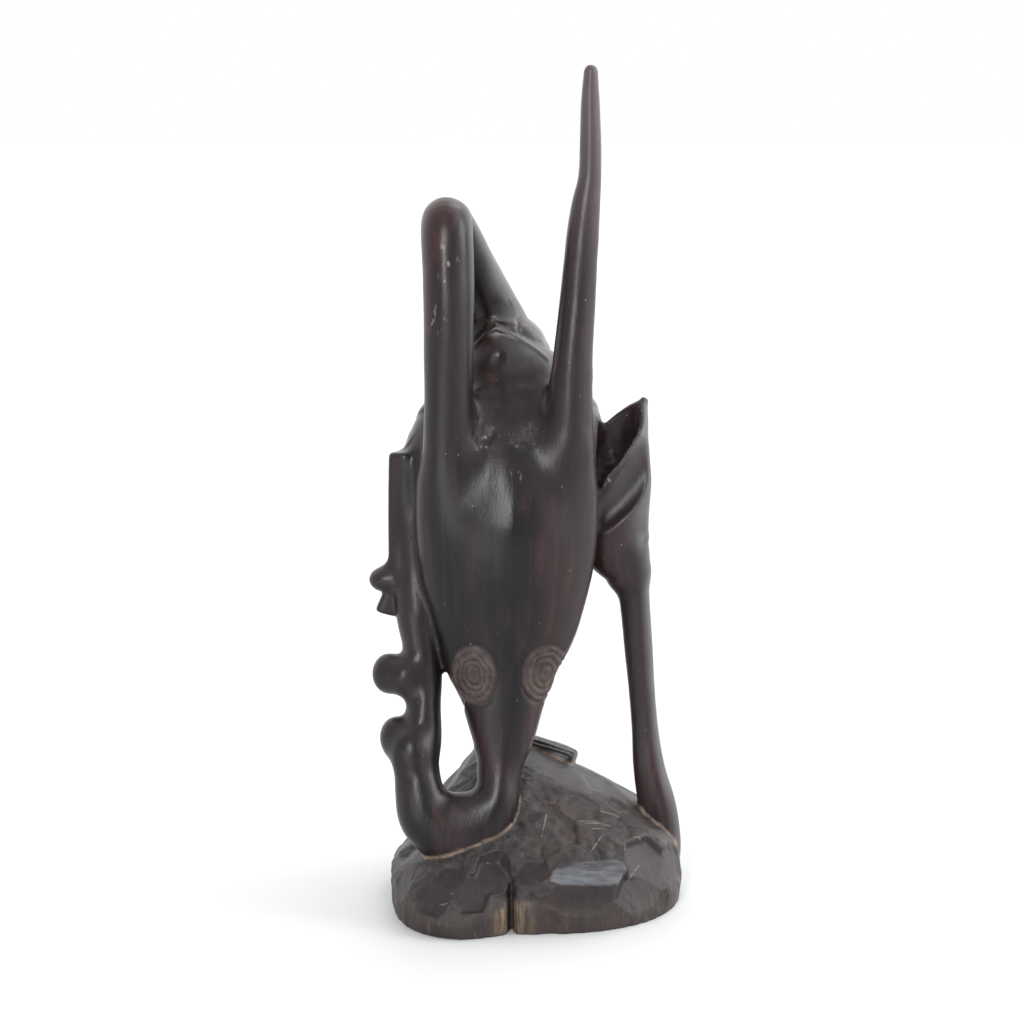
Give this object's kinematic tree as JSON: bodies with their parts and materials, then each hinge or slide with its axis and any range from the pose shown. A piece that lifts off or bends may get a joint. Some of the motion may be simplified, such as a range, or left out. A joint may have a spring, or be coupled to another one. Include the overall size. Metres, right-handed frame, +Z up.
{
  "type": "spirit carving",
  "caption": "Tall free-standing hardwood carving of a spirit figure with a bent limb, a horn, a winged side and a profile face, cut in one with its mound base.",
  "frame": {"origin": "middle of the flat underside of the mound base, on the surface the carving stands on", "axes": "+Z up, -Y towards the viewer of the front, +X to the right when the front is seen"},
  "size_m": [0.1699, 0.1589, 0.4518],
  "materials": {
    "blackwood": "satin polished very dark blackwood with reddish streaks, unpolished at the eyes and the base"
  },
  "bodies": {
    "root": {"spirit_carving": "blackwood"}
  },
  "joints": []
}
